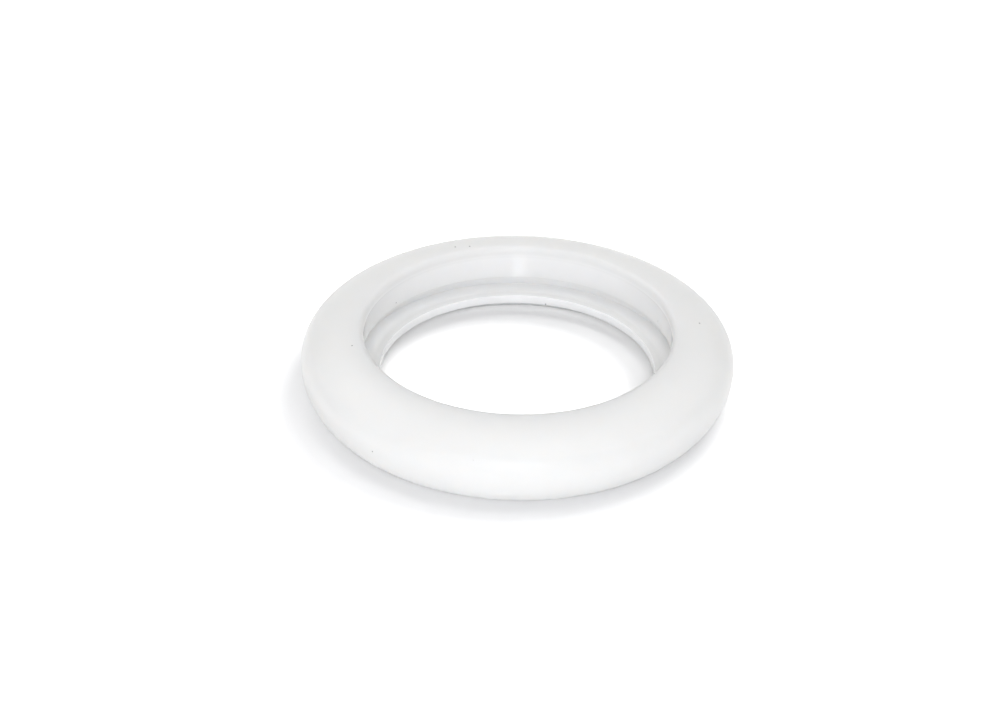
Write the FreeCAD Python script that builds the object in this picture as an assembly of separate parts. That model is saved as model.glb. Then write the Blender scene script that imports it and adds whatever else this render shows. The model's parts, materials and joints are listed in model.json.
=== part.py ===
import FreeCAD, Part
import math
import os

# Lid gasket: a thick ring of silicone rubber, moulded in one piece.
# Sizes are in millimetres. The origin is the centre of the face that the ring stands on, and +Z is
# the ring's axis. The solid is one closed section, turned about that axis.
#
# The section, from the outside in:
#   the flank swells to the widest diameter and seals against the mouth of the vessel,
#   the dome slopes up from the flank and is highest beside the opening,
#   the throat is the steep inner wall below the rounded brim, and widens a little on its way down,
#   the groove under the throat takes the rim of the lid,
#   the lip is the groove's floor, reaches further in than the throat, and holds that rim,
#   and the base is flat, with a bevel that runs up from it to the lip.

# The ring as a whole
OUTER_DIAMETER = 80.0
SECTION_WIDTH = 11.55
HEIGHT = 13.8

# Outer curves
DOME_RADIUS = 15.1
FLANK_RADIUS = 4.5
BASE_INSET = 4.6

# Brim and throat
BRIM_RADIUS = 1.1
THROAT_LEAN = 3.5

# Groove for the lid's rim
GROOVE_HEIGHT = 2.25
GROOVE_DEPTH = 1.55

# Lip, and the bevel below it
LIP_REACH = 2.9
LIP_THICKNESS = 1.7
LIP_RISE = 3.0
LIP_UNDERSIDE = 1.35
BEVEL_ANGLE = 45.0

# Heights that follow
brim_centre_height = HEIGHT - BRIM_RADIUS
lip_top = LIP_RISE + LIP_THICKNESS
groove_roof = lip_top + GROOVE_HEIGHT

# Radii that follow
outer_radius = OUTER_DIAMETER / 2
opening_radius = outer_radius - SECTION_WIDTH
crown_radius = opening_radius + BRIM_RADIUS
lip_radius = opening_radius - LIP_REACH
base_outer_radius = outer_radius - BASE_INSET
base_inner_radius = lip_radius + LIP_UNDERSIDE + LIP_RISE * math.tan(math.radians(BEVEL_ANGLE))


def at(radius, height):
    """A point of the section, which is drawn in the XZ plane."""
    return FreeCAD.Vector(radius, 0, height)


def on_circle(centre, radius, degrees):
    """The point of a circle at an angle counted from +X towards +Z."""
    angle = math.radians(degrees)
    return centre + at(radius * math.cos(angle), radius * math.sin(angle))


def line(start, end):
    return Part.LineSegment(start, end).toShape()


def arc(centre, radius, start_degrees, end_degrees):
    """An arc about centre, drawn from the start angle to the end angle."""
    middle_degrees = (start_degrees + end_degrees) / 2
    start = on_circle(centre, radius, start_degrees)
    middle = on_circle(centre, radius, middle_degrees)
    end = on_circle(centre, radius, end_degrees)
    return Part.Arc(start, middle, end).toShape()


def outer_edges():
    """The base curve, the flank and the dome, from the base's outer edge up to the crown."""
    crown_centre = at(crown_radius, HEIGHT - DOME_RADIUS)
    flank_offset = outer_radius - FLANK_RADIUS - crown_radius
    centre_distance = DOME_RADIUS - FLANK_RADIUS
    flank_rise = math.sqrt(centre_distance**2 - flank_offset**2)
    flank_centre = crown_centre + at(flank_offset, flank_rise)
    join_degrees = math.degrees(math.atan2(flank_rise, flank_offset))

    # The base curve starts upright at the widest place and has drawn back by BASE_INSET at the base.
    widest_height = flank_centre.z
    base_curve = (BASE_INSET**2 + widest_height**2) / (2 * BASE_INSET)
    base_centre = at(outer_radius - base_curve, widest_height)
    foot_degrees = -math.degrees(math.asin(widest_height / base_curve))
    print("widest", round(widest_height, 3), "mm above the base, base curve radius", round(base_curve, 3))
    return [
        arc(base_centre, base_curve, foot_degrees, 0),
        arc(flank_centre, FLANK_RADIUS, 0, join_degrees),
        arc(crown_centre, DOME_RADIUS, join_degrees, 90),
    ]


def inner_edges():
    """The brim, the throat and the groove, from the crown down to the top of the lip."""
    brim_centre = at(crown_radius, brim_centre_height)
    brim_end_degrees = 180 + THROAT_LEAN
    throat_top = on_circle(brim_centre, BRIM_RADIUS, brim_end_degrees)
    throat_drop = throat_top.z - groove_roof
    throat_foot = at(throat_top.x + throat_drop * math.tan(math.radians(THROAT_LEAN)), groove_roof)
    groove_radius = throat_foot.x + GROOVE_DEPTH
    print("throat foot radius", round(throat_foot.x, 3), "mm, groove radius", round(groove_radius, 3), "mm")
    return [
        arc(brim_centre, BRIM_RADIUS, 90, brim_end_degrees),
        line(throat_top, throat_foot),
        line(throat_foot, at(groove_radius, groove_roof)),
        line(at(groove_radius, groove_roof), at(groove_radius, lip_top)),
        line(at(groove_radius, lip_top), at(lip_radius, lip_top)),
    ]


def foot_edges():
    """The lip's face and underside, the bevel and the flat base, out to the base's outer edge."""
    bevel_top = at(lip_radius + LIP_UNDERSIDE, LIP_RISE)
    bevel_foot = at(base_inner_radius, 0)
    return [
        line(at(lip_radius, lip_top), at(lip_radius, LIP_RISE)),
        line(at(lip_radius, LIP_RISE), bevel_top),
        line(bevel_top, bevel_foot),
        line(bevel_foot, at(base_outer_radius, 0)),
    ]


def lid_gasket():
    """The whole ring: its section turned once about the axis."""
    edges = outer_edges() + inner_edges() + foot_edges()
    section = Part.Face(Part.Wire(edges))
    return section.revolve(at(0, 0), FreeCAD.Vector(0, 0, 1), 360)


os.makedirs("parts", exist_ok=True)
ring = lid_gasket()
print("valid", ring.isValid(), "volume", round(ring.Volume / 1000, 2), "cm3")
ring.exportStep("parts/lid_gasket.step")
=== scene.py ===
# %% [markdown]
# # A lid gasket in silicone rubber
#
# The part is one thick ring, moulded in a single piece. It seals the lid of a vessel such as a jug or a
# food jar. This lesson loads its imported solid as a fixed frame, draws the ring's section again with
# finer curves, turns it into a smooth mesh, and gives it the look of milky silicone under a bright, soft
# studio light. Blender works in metres here, so every size in millimetres is multiplied by MM.

# %% Load the frame
import json
import math

import bmesh
import bpy
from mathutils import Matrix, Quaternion, Vector


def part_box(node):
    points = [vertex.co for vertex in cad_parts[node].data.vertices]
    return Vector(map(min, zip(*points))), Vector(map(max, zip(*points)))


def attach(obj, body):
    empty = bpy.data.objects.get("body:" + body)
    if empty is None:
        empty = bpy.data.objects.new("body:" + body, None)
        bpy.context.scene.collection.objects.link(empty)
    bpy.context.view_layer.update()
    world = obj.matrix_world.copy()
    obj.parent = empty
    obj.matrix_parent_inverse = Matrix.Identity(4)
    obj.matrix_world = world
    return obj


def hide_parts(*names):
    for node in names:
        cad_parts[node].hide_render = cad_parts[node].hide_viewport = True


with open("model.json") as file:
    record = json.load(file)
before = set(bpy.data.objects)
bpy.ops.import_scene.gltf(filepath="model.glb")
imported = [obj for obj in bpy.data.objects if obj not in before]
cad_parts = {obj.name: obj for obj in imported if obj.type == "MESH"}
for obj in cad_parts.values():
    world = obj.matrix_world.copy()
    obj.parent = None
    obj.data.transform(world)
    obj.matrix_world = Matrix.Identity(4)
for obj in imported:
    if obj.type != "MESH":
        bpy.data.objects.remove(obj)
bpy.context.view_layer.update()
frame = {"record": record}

MM = 0.001


def mm(*values):
    """A point or a direction given in millimetres, in metres."""
    return Vector(values) * MM


def in_mm(length):
    """A length in metres, in millimetres and rounded, for what the cells print."""
    return round(length / MM, 2)


high_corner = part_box("lid_gasket")[1]
outer_radius = high_corner.x
height = high_corner.z
print("ring in the frame:", in_mm(2 * outer_radius), "mm across,", in_mm(height), "mm high")

# %% [markdown]
# ## The sizes of the section
#
# The overall diameter and height come from the frame, and the lip's bore comes from the mount that the
# record states. The other sizes are the section's own, as they are in the solid, with the throat's lean
# in degrees. The two edge sizes at the end are the scene's alone, because a mould never leaves rubber
# quite sharp, and an edge that is a little round catches the light.

# %% Section sizes
bore = next(mount for mount in frame["record"]["mounts"] if mount["name"] == "lid_bore")

SECTION_WIDTH = 11.55 * MM
DOME_RADIUS = 15.1 * MM
FLANK_RADIUS = 4.5 * MM
BASE_INSET = 4.6 * MM
BRIM_RADIUS = 1.1 * MM
THROAT_LEAN = 3.5
GROOVE_HEIGHT = 2.25 * MM
GROOVE_DEPTH = 1.55 * MM
LIP_THICKNESS = bore["dims"]["length_mm"] * MM
LIP_UNDERSIDE = 1.35 * MM
LIP_EDGE_RADIUS = 0.12 * MM
MOULD_EDGE_WIDTH = 0.12 * MM

crown_radius = outer_radius - SECTION_WIDTH + BRIM_RADIUS
lip_radius = bore["dims"]["r_mm"] * MM
lip_foot = bore["pos_m"][2] - LIP_THICKNESS / 2
lip_top = lip_foot + LIP_THICKNESS
groove_roof = lip_top + GROOVE_HEIGHT
print("lip from", in_mm(lip_foot), "to", in_mm(lip_top), "mm up, radius", in_mm(lip_radius), "mm")

# %% [markdown]
# ## Drawing with one vertex
#
# A turned part is easiest to model as its outline and one spin. The outline could be a curve object,
# but a mesh vertex can draw it too, and then every corner stays exact: extruding the vertex draws a
# straight stretch, and spinning it about a centre draws an arc. Two small functions do that, so each
# stretch of the section below is one line. The section stands in the XZ plane, to the right of the axis.

# %% The pen
ARC_STEP = math.radians(5)


def pen_point():
    """Where the one selected vertex is."""
    mesh = bmesh.from_edit_mesh(bpy.context.object.data)
    return next(vertex.co.copy() for vertex in mesh.verts if vertex.select)


def draw_line(radius, level):
    """Extrudes the pen's vertex straight to a radius and a height."""
    move = Vector((radius, 0, level)) - pen_point()
    bpy.ops.mesh.extrude_region_move(TRANSFORM_OT_translate={"value": move})


def draw_arc(centre_radius, centre_level, degrees):
    """Spins the pen's vertex about a centre. A positive angle turns from +X towards +Z."""
    angle = math.radians(degrees)
    bpy.ops.mesh.spin(
        steps=max(2, round(abs(angle) / ARC_STEP)),
        angle=angle,
        center=(centre_radius, 0, centre_level),
        axis=(0, 1, 0),
        use_auto_merge=False,
    )


# %% [markdown]
# ## The section
#
# The pen starts where the ring leaves the table and goes round the section once: up the base curve to
# the widest place, over the flank and the dome to the crown beside the opening, down the throat, round
# the groove that takes the lid's rim, round the lip, and back along the bevel and the flat base. Two
# arcs that touch share a tangent, so their centres lie on one line with the place where they meet, and
# that line gives the angle at which one hands over to the other. The bevel stands at 45 degrees, so it
# goes out by as much as it goes down.

# %% Work out the arcs that meet
flank_offset = outer_radius - FLANK_RADIUS - crown_radius
flank_rise = math.sqrt((DOME_RADIUS - FLANK_RADIUS) ** 2 - flank_offset**2)
flank_degrees = math.degrees(math.atan2(flank_rise, flank_offset))
widest_level = height - DOME_RADIUS + flank_rise

base_curve = (BASE_INSET**2 + widest_level**2) / (2 * BASE_INSET)
base_degrees = math.degrees(math.asin(widest_level / base_curve))

lean = math.radians(THROAT_LEAN)
throat_top = crown_radius - BRIM_RADIUS * math.cos(lean)
throat_drop = height - BRIM_RADIUS - BRIM_RADIUS * math.sin(lean) - groove_roof
throat_foot = throat_top + throat_drop * math.tan(lean)
groove_radius = throat_foot + GROOVE_DEPTH
print("widest", in_mm(widest_level), "mm up, and the flank ends at", round(flank_degrees, 1), "degrees")

# %% Draw the section
bpy.ops.object.select_all(action="DESELECT")
bpy.ops.mesh.primitive_plane_add(size=MM, location=(outer_radius - BASE_INSET, 0, 0))
ring = bpy.context.object
ring.name = "silicone_ring"
bpy.ops.object.transform_apply(location=True)
bpy.ops.object.mode_set(mode="EDIT")
bpy.ops.mesh.select_all(action="SELECT")
bpy.ops.mesh.merge(type="CENTER")

draw_arc(outer_radius - base_curve, widest_level, base_degrees)
draw_arc(outer_radius - FLANK_RADIUS, widest_level, flank_degrees)
draw_arc(crown_radius, height - DOME_RADIUS, 90 - flank_degrees)
draw_arc(crown_radius, height - BRIM_RADIUS, 90 + THROAT_LEAN)
draw_line(throat_foot, groove_roof)
draw_line(groove_radius, groove_roof)
draw_line(groove_radius, lip_top)
draw_line(lip_radius + LIP_EDGE_RADIUS, lip_top)
draw_arc(lip_radius + LIP_EDGE_RADIUS, lip_top - LIP_EDGE_RADIUS, 90)
draw_line(lip_radius, lip_foot + LIP_EDGE_RADIUS)
draw_arc(lip_radius + LIP_EDGE_RADIUS, lip_foot + LIP_EDGE_RADIUS, 90)
draw_line(lip_radius + LIP_UNDERSIDE, lip_foot)
draw_line(lip_radius + LIP_UNDERSIDE + lip_foot, 0)
draw_line(outer_radius - BASE_INSET, 0)
print("section:", len(bmesh.from_edit_mesh(ring.data).verts), "points")

# %% [markdown]
# ## Turning it into the ring
#
# Spin carries the whole outline once round the axis. The last copy lands on the first, and the outline's
# end lands on its start, so merging by distance closes the ring both ways. After that the normals are
# recalculated to point outwards, which a spin alone doesn't promise.

# %% Spin the section
SPIN_STEPS = 288
MERGE_DISTANCE = 0.001 * MM

bpy.ops.mesh.select_all(action="SELECT")
bpy.ops.mesh.spin(
    steps=SPIN_STEPS, angle=2 * math.pi, center=(0, 0, 0), axis=(0, 0, 1), use_auto_merge=False
)
bpy.ops.mesh.select_all(action="SELECT")
bpy.ops.mesh.remove_doubles(threshold=MERGE_DISTANCE)
bpy.ops.mesh.normals_make_consistent(inside=False)
bpy.ops.object.mode_set(mode="OBJECT")
print("ring:", len(ring.data.vertices), "vertices,", len(ring.data.polygons), "faces")

# %% [markdown]
# ## Breaking the edges
#
# A bevel modifier finds the crisp corners by their angle, at the throat's foot, the groove and the
# base, and rounds each by the small radius that a polished steel mould leaves. The smooth arcs turn by
# only a few degrees from face to face, so the angle limit passes them by. Smooth shading then hides the
# facets, but it also bends the normals of the flat faces beside every rounded edge, and a reflection
# shows that at once. A weighted normal modifier gives the large faces their true normals back, and the
# highest weight lets them win outright.

# %% Bevel and smooth
CRISP_ANGLE = math.radians(15)
EDGE_SEGMENTS = 3
HIGHEST_WEIGHT = 100

bevel = ring.modifiers.new("mould_edges", "BEVEL")
bevel.width = MOULD_EDGE_WIDTH
bevel.segments = EDGE_SEGMENTS
bevel.limit_method = "ANGLE"
bevel.angle_limit = CRISP_ANGLE
bpy.ops.object.modifier_apply(modifier=bevel.name)
bpy.ops.object.shade_smooth()

weighted = ring.modifiers.new("flat_faces_keep_their_normals", "WEIGHTED_NORMAL")
weighted.mode = "FACE_AREA"
weighted.weight = HIGHEST_WEIGHT
bpy.ops.object.modifier_apply(modifier=weighted.name)
print("after the bevel:", len(ring.data.polygons), "faces")

# %% [markdown]
# ## Helpers for materials
#
# Colours are written as sRGB hex, as a colour picker shows them, and one function turns them to the
# linear values that shaders use. Another adds a node, sets what it is given and makes its links.

# %% Colour and node helpers
def linear(hex_colour):
    """The linear RGBA of an sRGB hex colour such as '#F2F2F0'."""
    channels = []
    for start in (1, 3, 5):
        value = int(hex_colour[start : start + 2], 16) / 255
        channels.append(value / 12.92 if value <= 0.04045 else ((value + 0.055) / 1.055) ** 2.4)
    return channels + [1]


def add_node(tree, kind, settings=None, inputs=None):
    """Adds a node. An input's value is a number or colour for its socket, or another node's output."""
    node = tree.nodes.new(kind)
    for name, value in (settings or {}).items():
        setattr(node, name, value)
    for name, value in (inputs or {}).items():
        if isinstance(value, bpy.types.NodeSocket):
            tree.links.new(value, node.inputs[name])
        else:
            node.inputs[name].default_value = value
    return node


def new_material(name):
    """An empty material and its node tree."""
    material = bpy.data.materials.new(name)
    material.use_nodes = True
    material.node_tree.nodes.clear()
    return material, material.node_tree


WHITE = "#FFFFFF"
print("mid grey #808080 is", round(linear("#808080")[0], 3), "in linear light")

# %% [markdown]
# ## Silicone rubber: telling its surfaces apart
#
# Rings like this one are pressed from natural silicone rubber in a steel mould. The outer half of such a
# mould is blasted, which leaves a satin skin on the dome. Its core is turned on a lathe and polished, so
# the throat, the groove and the lip are smoother. One material covers all of it, as one rubber does. A
# second slot or a painted mask could tell the surfaces apart, but on a turned part two numbers do it: the
# distance from the axis and the height.
#
# Map Range nodes turn these into masks from 0 to 1. The core's mask fades in just below the brim. It is
# then shared out between the lip, whose top gets a painted shade, and the throat with its groove, which
# get painted light. The last mask is 1 on the lip's face only, where it puts a painted highlight, and
# fades over the round of the lip's edge.

# %% Masks for the core's surfaces
CORE_FADE = 1.0 * MM
POLISH_FADE = 1.4 * BRIM_RADIUS
# Width from the lip's edge over which the lip's top gets its painted shade.
PAINTED_SHADE_WIDTH = 1.0 * MM


def surface_masks(tree, place):
    """A mask from 0 to 1 for each surface that the mould's core shaped, and for all of them."""
    xyz = add_node(tree, "ShaderNodeSeparateXYZ", inputs={0: place})
    flat_place = add_node(
        tree, "ShaderNodeCombineXYZ", inputs={"X": xyz.outputs["X"], "Y": xyz.outputs["Y"]}
    )
    length = add_node(tree, "ShaderNodeVectorMath", {"operation": "LENGTH"}, {0: flat_place.outputs[0]})
    from_axis = length.outputs["Value"]
    inside = add_node(
        tree,
        "ShaderNodeMapRange",
        {"interpolation_type": "SMOOTHSTEP"},
        {
            "Value": from_axis,
            "From Min": groove_radius + CORE_FADE,
            "From Max": groove_radius + MOULD_EDGE_WIDTH,
        },
    )
    below_brim = add_node(
        tree,
        "ShaderNodeMapRange",
        {"interpolation_type": "SMOOTHSTEP"},
        {
            "Value": xyz.outputs["Z"],
            "From Min": height - BRIM_RADIUS,
            "From Max": height - BRIM_RADIUS - POLISH_FADE,
        },
    )
    core = add_node(
        tree, "ShaderNodeMath", {"operation": "MULTIPLY"}, {0: inside.outputs[0], 1: below_brim.outputs[0]}
    )
    past_lip = add_node(
        tree,
        "ShaderNodeMapRange",
        {"interpolation_type": "SMOOTHSTEP"},
        {"Value": from_axis, "From Min": lip_radius + PAINTED_SHADE_WIDTH, "From Max": throat_top},
    )
    throat = add_node(
        tree, "ShaderNodeMath", {"operation": "MULTIPLY"}, {0: core.outputs[0], 1: past_lip.outputs[0]}
    )
    lip = add_node(
        tree, "ShaderNodeMath", {"operation": "SUBTRACT"}, {0: core.outputs[0], 1: throat.outputs[0]}
    )
    lip_face = add_node(
        tree,
        "ShaderNodeMapRange",
        inputs={
            "Value": from_axis,
            "From Min": lip_radius + LIP_EDGE_RADIUS,
            "From Max": lip_radius + LIP_EDGE_RADIUS / 4,
        },
    )
    masks = {"core": core, "throat": throat, "lip": lip, "lip_face": lip_face}
    return {name: node.outputs[0] for name, node in masks.items()}


print("the core's finish begins", in_mm(height - BRIM_RADIUS), "mm up")

# %% [markdown]
# ## Silicone rubber: its colour
#
# The rubber has no pigment. Fine silica filler makes it milky, and it isn't mixed quite evenly, so noise
# with spots of 9 mm varies the tint a little. The throat and groove get a lighter tint, painted light
# that lifts them out of the shade of their recess. The lip's top gets a darker tint, a painted shade, and
# the lip's face a lighter one again, a painted highlight. Rubber also draws lint, so a Voronoi texture
# puts a dark speck, at most 0.4 mm wide, here and there.
#
# Each of these is one Mix node over the one before it, so a loop stacks them.

# %% Colour of the silicone
CLOUD_SIZE = 9 * MM
SPECK_SPACING = 5 * MM
SPECK_RADIUS = 0.2 * MM
MILKY = "#EFEFED"
MILKY_CLOUD = "#F3F3F1"
# The lip's top is painted with this darker tint: painted shade.
PAINTED_SHADE_TINT = "#E3E3E1"
# Painted light: this lighter tint lifts the throat and groove out of their shade and brightens the lip's
# face.
PAINTED_LIGHT_TINT = "#FDFDFB"
LINT = "#6E6C68"


def lint_mask(tree, place):
    """1 on the specks of lint, else 0."""
    dust = add_node(tree, "ShaderNodeTexVoronoi", inputs={"Vector": place, "Scale": 1 / SPECK_SPACING})
    speck = add_node(
        tree,
        "ShaderNodeMapRange",
        inputs={
            "Value": dust.outputs["Distance"],
            "From Min": SPECK_RADIUS / SPECK_SPACING,
            "From Max": SPECK_RADIUS / SPECK_SPACING / 2,
        },
    )
    return speck.outputs[0]


def silicone_colour(tree, place, masks):
    """The milky tint with every other tint laid over it, each through its own mask."""
    clouds = add_node(
        tree,
        "ShaderNodeTexNoise",
        inputs={"Vector": place, "Scale": 1 / CLOUD_SIZE, "Detail": 2},
    )
    # The lip's layer is painted shade, and the throat's and the lip face's layers are painted light.
    layers = [
        (clouds.outputs["Fac"], MILKY_CLOUD),
        (masks["lip"], PAINTED_SHADE_TINT),
        (masks["throat"], PAINTED_LIGHT_TINT),
        (masks["lip_face"], PAINTED_LIGHT_TINT),
        (lint_mask(tree, place), LINT),
    ]
    colour = linear(MILKY)
    for mask, tint in layers:
        layer = add_node(
            tree, "ShaderNodeMix", {"data_type": "RGBA"}, {"Factor": mask, 6: colour, 7: linear(tint)}
        )
        colour = layer.outputs[2]
    return colour


print("tints:", MILKY, MILKY_CLOUD, PAINTED_SHADE_TINT, PAINTED_LIGHT_TINT, LINT)

# %% [markdown]
# ## Silicone rubber: its fine relief
#
# Two bump nodes in a row shape the shading without any geometry. The first is the satin grain of the
# blasted mould, which is faint enough to stay on the polished core too. The second is the core's turning
# marks: they run round the ring, so they are noise along the height alone, and they spread a reflection
# up and down. Both are finer on the real ring, and are drawn as coarse as they need to be to show.

# %% Satin grain and turning marks
SATIN_GRAIN = 0.3 * MM
SATIN_STRENGTH = 0.15
MARK_SPACING = 0.25 * MM
MARK_STRENGTH = 0.3
RELIEF_DEPTH = 0.02 * MM


def silicone_relief(tree, place, core):
    """The shading normal, with the satin grain everywhere and the turning marks on the core's surfaces."""
    grain = add_node(
        tree, "ShaderNodeTexNoise", inputs={"Vector": place, "Scale": 1 / SATIN_GRAIN, "Detail": 1}
    )
    satin = add_node(
        tree,
        "ShaderNodeBump",
        inputs={"Height": grain.outputs["Fac"], "Strength": SATIN_STRENGTH, "Distance": RELIEF_DEPTH},
    )
    xyz = add_node(tree, "ShaderNodeSeparateXYZ", inputs={0: place})
    marks = add_node(
        tree,
        "ShaderNodeTexNoise",
        {"noise_dimensions": "1D"},
        {"W": xyz.outputs["Z"], "Scale": 1 / MARK_SPACING, "Detail": 3},
    )
    core_marks = add_node(
        tree, "ShaderNodeMath", {"operation": "MULTIPLY"}, {0: marks.outputs["Fac"], 1: core}
    )
    turned = add_node(
        tree,
        "ShaderNodeBump",
        inputs={
            "Height": core_marks.outputs[0],
            "Strength": MARK_STRENGTH,
            "Distance": RELIEF_DEPTH,
            "Normal": satin.outputs["Normal"],
        },
    )
    return turned.outputs["Normal"]


print("grain", in_mm(SATIN_GRAIN), "mm, turning marks", in_mm(MARK_SPACING), "mm apart")

# %% [markdown]
# ## Silicone rubber: the shader
#
# In milky rubber, light goes a few millimetres in before it comes out again. That gives the eye soft
# shading with no hard terminator, and a groove that stays bright. Subsurface scattering does this, with
# a scatter length of 7 mm that is a little longer for red than for blue. Silicone's index of refraction
# is about 1.41. The core's mask takes the roughness from the satin skin's to the polished core's.

# %% The silicone material, and the ring that wears it
SILICONE_IOR = 1.41
SATIN_ROUGHNESS = 0.42
POLISHED_ROUGHNESS = 0.14
SCATTER_LENGTH = 7 * MM
SCATTER_BY_CHANNEL = (1.0, 0.95, 0.9)


def silicone():
    """Natural silicone rubber, moulded, satin outside and polished inside."""
    material, tree = new_material("natural_silicone_rubber")
    place = add_node(tree, "ShaderNodeTexCoord").outputs["Object"]
    masks = surface_masks(tree, place)
    roughness = add_node(
        tree,
        "ShaderNodeMapRange",
        inputs={"Value": masks["core"], "To Min": SATIN_ROUGHNESS, "To Max": POLISHED_ROUGHNESS},
    )
    shader = add_node(
        tree,
        "ShaderNodeBsdfPrincipled",
        inputs={
            "Base Color": silicone_colour(tree, place, masks),
            "Roughness": roughness.outputs[0],
            "IOR": SILICONE_IOR,
            "Subsurface Weight": 1.0,
            "Subsurface Radius": SCATTER_BY_CHANNEL,
            "Subsurface Scale": SCATTER_LENGTH,
            "Normal": silicone_relief(tree, place, masks["core"]),
        },
    )
    add_node(tree, "ShaderNodeOutputMaterial", inputs={"Surface": shader.outputs[0]})
    return material


ring.data.materials.clear()
ring.data.materials.append(silicone())
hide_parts("lid_gasket")
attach(ring, "root")
print("material:", ring.data.materials[0].name)

# %% [markdown]
# ## Which rays see the background
#
# The photo's background is pure white. It gets that from the colours of the floor and the world and not
# from stronger lamps, so it has to be white only for the rays that show it: those from the camera, and
# those that a reflection or glass sends on. The diffuse rays that carry light to the ring meet a plain
# pale floor and a dim world instead. Light Path tells the rays apart.

# %% The rays that show the background
def background_rays(tree):
    """1 for camera rays and for those that a reflection or glass sends on, else 0."""
    path = add_node(tree, "ShaderNodeLightPath")
    shows = path.outputs["Is Camera Ray"]
    for ray in ("Is Glossy Ray", "Is Transmission Ray"):
        either = add_node(
            tree, "ShaderNodeMath", {"operation": "ADD", "use_clamp": True}, {0: shows, 1: path.outputs[ray]}
        )
        shows = either.outputs[0]
    return shows


# %% [markdown]
# ## Floor
#
# The ring lies on a polished white sheet, taken here for acrylic, which is so bright in the photo that
# only the ring's shadow shows on it. The background rays meet a colour a touch above white and a light of
# the sheet's own. That light begins at the edge of a dim zone and is full 12 mm from it. Within the dim
# zone, the shadow beside the ring is the rendered one. How it fades out to white is a painted shadow,
# drawn by this light. The dim zone follows the ring, a little narrower than it and moved to the front
# left, which paints the shadow widest there. The sheet's own light is left out of the lamp sampling, so
# that it takes no samples from the lamps.
#
# The sheet lies a hundredth of a millimetre below the ring's base, so that the two faces never coincide.
# Nothing stands below it that could need its shadow, so it casts none, and the lamp that a later step
# puts below it can shine through.

# %% Floor
FLOOR_SIZE = 4.0
FLOOR_DROP = 0.01 * MM
SHEET_COLOUR = "#F2F2F2"
SEEN_SHEET_COLOUR = (1.04, 1.04, 1.04, 1)
ACRYLIC_IOR = 1.49
POLISH_ROUGHNESS = 0.08
# The dim zone and the glow's fade paint the outer part of the ring's shadow on the sheet, and DIM_ZONE_SHIFT
# moves that painted shadow towards the front left.
DIM_ZONE_WIDTH = 11.5 * MM
DIM_ZONE_SHIFT = mm(-3.0, -2.0, 0)
WHITE_AFTER = 12 * MM


def outside_dim_zone(tree):
    """0 in the dim zone round the ring, and 1 from WHITE_AFTER beyond its edges."""
    place = add_node(tree, "ShaderNodeTexCoord").outputs["Object"]
    shifted = add_node(
        tree, "ShaderNodeVectorMath", {"operation": "SUBTRACT"}, {0: place, 1: DIM_ZONE_SHIFT}
    )
    from_axis = add_node(tree, "ShaderNodeVectorMath", {"operation": "LENGTH"}, {0: shifted.outputs[0]})
    off_middle = add_node(
        tree,
        "ShaderNodeMath",
        {"operation": "SUBTRACT"},
        {0: from_axis.outputs["Value"], 1: (outer_radius + lip_radius) / 2},
    )
    from_middle = add_node(tree, "ShaderNodeMath", {"operation": "ABSOLUTE"}, {0: off_middle.outputs[0]})
    outside = add_node(
        tree,
        "ShaderNodeMapRange",
        {"interpolation_type": "SMOOTHSTEP"},
        {
            "Value": from_middle.outputs[0],
            "From Min": DIM_ZONE_WIDTH / 2,
            "From Max": DIM_ZONE_WIDTH / 2 + WHITE_AFTER,
        },
    )
    return outside.outputs[0]


def white_acrylic():
    """A polished white acrylic sheet, with the light of its own that background rays meet."""
    material, tree = new_material("polished_white_acrylic")
    seen = background_rays(tree)
    colour = add_node(
        tree,
        "ShaderNodeMix",
        {"data_type": "RGBA"},
        {"Factor": seen, 6: linear(SHEET_COLOUR), 7: SEEN_SHEET_COLOUR},
    )
    sheet = add_node(tree, "ShaderNodeBsdfDiffuse", inputs={"Color": colour.outputs[2]})
    polish = add_node(
        tree, "ShaderNodeBsdfGlossy", inputs={"Color": linear(WHITE), "Roughness": POLISH_ROUGHNESS}
    )
    mirror_share = add_node(tree, "ShaderNodeFresnel", inputs={"IOR": ACRYLIC_IOR})
    polished = add_node(
        tree,
        "ShaderNodeMixShader",
        inputs={0: mirror_share.outputs[0], 1: sheet.outputs[0], 2: polish.outputs[0]},
    )
    strength = add_node(
        tree, "ShaderNodeMath", {"operation": "MULTIPLY"}, {0: seen, 1: outside_dim_zone(tree)}
    )
    glow = add_node(
        tree, "ShaderNodeEmission", inputs={"Color": linear(WHITE), "Strength": strength.outputs[0]}
    )
    both = add_node(tree, "ShaderNodeAddShader", inputs={0: polished.outputs[0], 1: glow.outputs[0]})
    add_node(tree, "ShaderNodeOutputMaterial", inputs={"Surface": both.outputs[0]})
    material.cycles.emission_sampling = "NONE"
    return material


bpy.ops.object.select_all(action="DESELECT")
bpy.ops.mesh.primitive_plane_add(size=FLOOR_SIZE, location=(0, 0, -FLOOR_DROP))
floor = bpy.context.object
floor.name = "floor"
floor.data.materials.append(white_acrylic())
floor.visible_shadow = False
print("floor:", FLOOR_SIZE, "m square")

# %% [markdown]
# ## World
#
# The world is alike: the background rays see white, and for all other rays it is an even, soft fill
# that keeps the shadows from going black.

# %% World
FILL_STRENGTH = 0.05
SEEN_STRENGTH = 1.0


def white_world():
    world = bpy.data.worlds.new("studio")
    world.use_nodes = True
    tree = world.node_tree
    tree.nodes.clear()
    strength = add_node(
        tree,
        "ShaderNodeMapRange",
        inputs={"Value": background_rays(tree), "To Min": FILL_STRENGTH, "To Max": SEEN_STRENGTH},
    )
    light = add_node(
        tree, "ShaderNodeBackground", inputs={"Color": linear(WHITE), "Strength": strength.outputs[0]}
    )
    add_node(tree, "ShaderNodeOutputWorld", inputs={"Surface": light.outputs[0]})
    return world


bpy.context.scene.world = white_world()
print("world:", FILL_STRENGTH, "of white as a fill")

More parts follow.
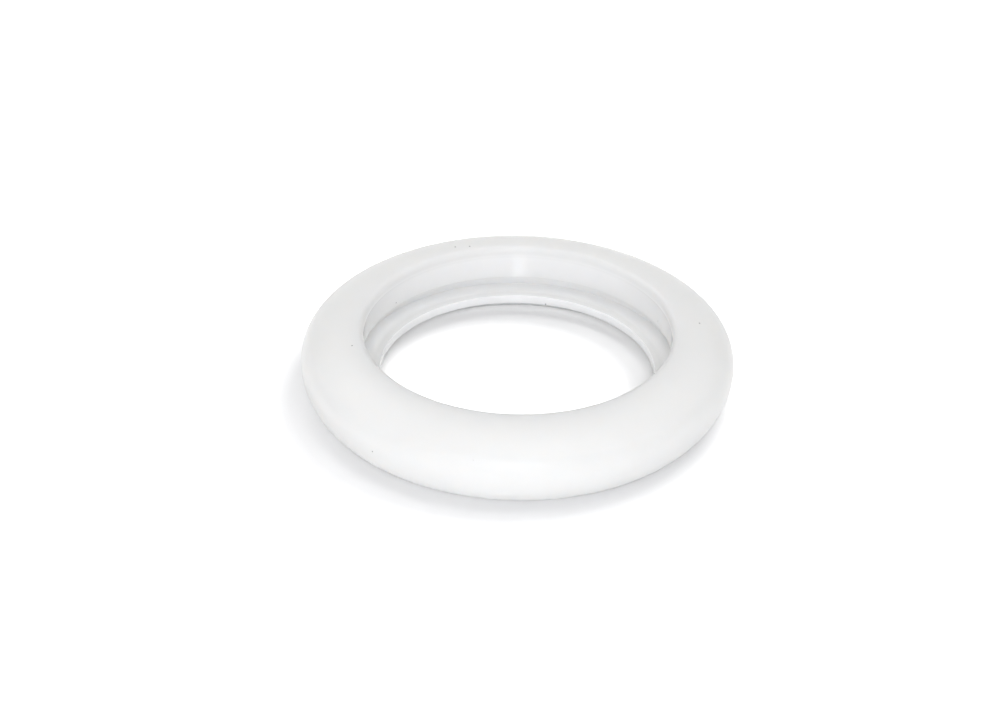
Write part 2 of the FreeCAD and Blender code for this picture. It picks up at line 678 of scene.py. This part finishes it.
# %% [markdown]
# ## Lamps
#
# Nine lamps stand round the ring, all at one distance. The front lamp, over the camera, makes the bright
# patch on the front of the dome, and the soft box below it widens that patch. These two are a trace
# cooler than white. The other seven light the flanks, the back and the top evenly, a little more from
# behind, so that the shadow hugs the ring's front. Their powers come from renders with one lamp at a
# time, weighed against the tones of the photo.
#
# The upright streak on the throat looks like the front lamp's reflection in the polished sheet, seen
# once more in the throat's wall. The sheet's real reflection was too faint and too rarely sampled to show
# it. So a weaker lamp stands where the sheet's mirror image of the front lamp is, as far below the floor
# as the lamp is above it, and shines through the sheet. A bounced ray would stop at the sheet before it
# met this lamp, so multiple importance sampling, which counts on such rays, is off for it.

# %% Lamps
LAMP_DISTANCE = 0.9
FRONT_ELEVATION = 37
FRONT_SIZE = (0.09, 0.22)
LARGE_BOX = (0.5, 0.5)
MIDDLE_BOX = (0.4, 0.4)
SMALL_BOX = (0.3, 0.3)
COOL = "#F9FAFF"


def area_lamp(name, azimuth, elevation, size, power, colour=WHITE):
    """A lamp of (width, height) in metres that faces the ring, with its power in watts.

    The angles are in degrees. Azimuth 0 is over the camera, and it grows towards the right.
    """
    around, up = math.radians(azimuth), math.radians(elevation)
    towards = Vector((math.sin(around) * math.cos(up), -math.cos(around) * math.cos(up), math.sin(up)))
    data = bpy.data.lights.new(name, "AREA")
    data.shape = "RECTANGLE"
    data.size, data.size_y = size
    data.energy = power
    data.color = linear(colour)[:3]
    lamp = bpy.data.objects.new(name, data)
    lamp.location = towards * LAMP_DISTANCE
    lamp.rotation_euler = towards.to_track_quat("Z", "Y").to_euler()
    bpy.context.scene.collection.objects.link(lamp)
    return lamp


area_lamp("front_lamp", 0, FRONT_ELEVATION, FRONT_SIZE, 2.15, COOL)
area_lamp("front_soft_box", 0, 23, MIDDLE_BOX, 1.7, COOL)
area_lamp("high_right_lamp", 50, 72, SMALL_BOX, 0.75)
area_lamp("right_soft_box", 90, 45, LARGE_BOX, 0.7)
area_lamp("back_right_soft_box", 135, 45, LARGE_BOX, 1.1)
area_lamp("back_left_soft_box", 225, 45, LARGE_BOX, 1.4)
area_lamp("left_soft_box", 270, 45, LARGE_BOX, 0.7)
area_lamp("low_left_lamp", 315, 20, MIDDLE_BOX, 0.45)
area_lamp("top_lamp", 0, 90, MIDDLE_BOX, 1.25)

mirrored = area_lamp("front_lamp_in_the_floor", 0, -FRONT_ELEVATION, FRONT_SIZE, 0.25)
mirrored.data.cycles.use_multiple_importance_sampling = False
lamps = [thing.data for thing in bpy.context.scene.objects if thing.type == "LIGHT"]
print("lamps:", len(lamps), "with", round(sum(lamp.energy for lamp in lamps), 2), "W in all")

# %% [markdown]
# ## Camera
#
# The camera's place, aim and roll come from fitting the ring's edges in the photo. It stands ten ring
# radii away, looks down at 33 degrees, and leans by a little under a degree. The fit gave the focal
# length in pixels, and the sensor's width turns it to millimetres.

# %% Camera
CAMERA_PLACE = mm(0.0, -333.8, 220.4)
CAMERA_TARGET = mm(-3.21, 0.0, 5.47)
CAMERA_ROLL = math.radians(0.82)
SENSOR_WIDTH = 36
IMAGE_WIDTH_PX = 1000
FOCAL_PX = 2135

camera_data = bpy.data.cameras.new("camera")
camera_data.sensor_width = SENSOR_WIDTH
camera_data.lens = SENSOR_WIDTH * FOCAL_PX / IMAGE_WIDTH_PX
camera = bpy.data.objects.new("camera", camera_data)
camera.location = CAMERA_PLACE
aim = (CAMERA_TARGET - CAMERA_PLACE).to_track_quat("-Z", "Y")
camera.rotation_euler = (aim @ Quaternion((0, 0, 1), CAMERA_ROLL)).to_euler()
bpy.context.scene.collection.objects.link(camera)
bpy.context.scene.camera = camera
bpy.context.scene.view_settings.view_transform = "Standard"
print("lens", round(camera_data.lens, 1), "mm")
